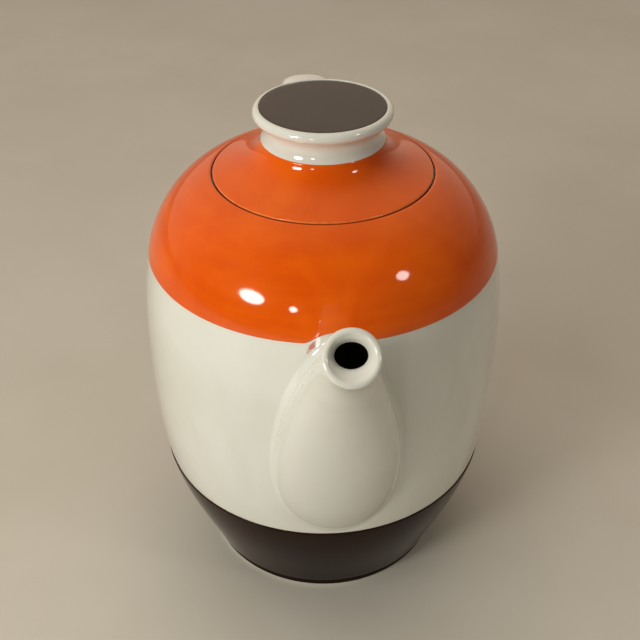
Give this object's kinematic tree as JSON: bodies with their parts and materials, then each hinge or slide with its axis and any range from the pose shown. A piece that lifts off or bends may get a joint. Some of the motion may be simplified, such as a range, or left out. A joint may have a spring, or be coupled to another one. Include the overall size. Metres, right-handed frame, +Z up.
{
  "type": "coffee pot",
  "caption": "Barrel-shaped porcelain coffee pot with an orange shoulder, white belly and brown base, a beak spout, a strap handle and a lift-off lid with a flat knob.",
  "frame": {"origin": "centre of the foot ring's resting face, on the surface that the pot stands on", "axes": "+Z up along the body's axis, the spout points along -Y and the handle along +Y, +X to the right seen from the spout side"},
  "size_m": [0.1302, 0.2148, 0.184],
  "materials": {
    "white_porcelain": "clear glossy glaze on white porcelain",
    "orange_glaze": "glossy opaque orange glaze",
    "brown_glaze": "glossy very dark brown glaze"
  },
  "bodies": {
    "pot": {"body": "white_porcelain", "shoulder_glaze": "orange_glaze", "base_glaze": "brown_glaze", "spout": "white_porcelain", "handle": "white_porcelain"},
    "lid": {"lid": "white_porcelain", "lid_glaze": "orange_glaze", "knob": "white_porcelain", "knob_glaze": "brown_glaze"}
  },
  "joints": [
    {"name": "lid_lift", "type": "slide", "parent": "pot", "child": "lid", "axis": [0, 0, 1], "range_m": [0, 0.06]}
  ]
}
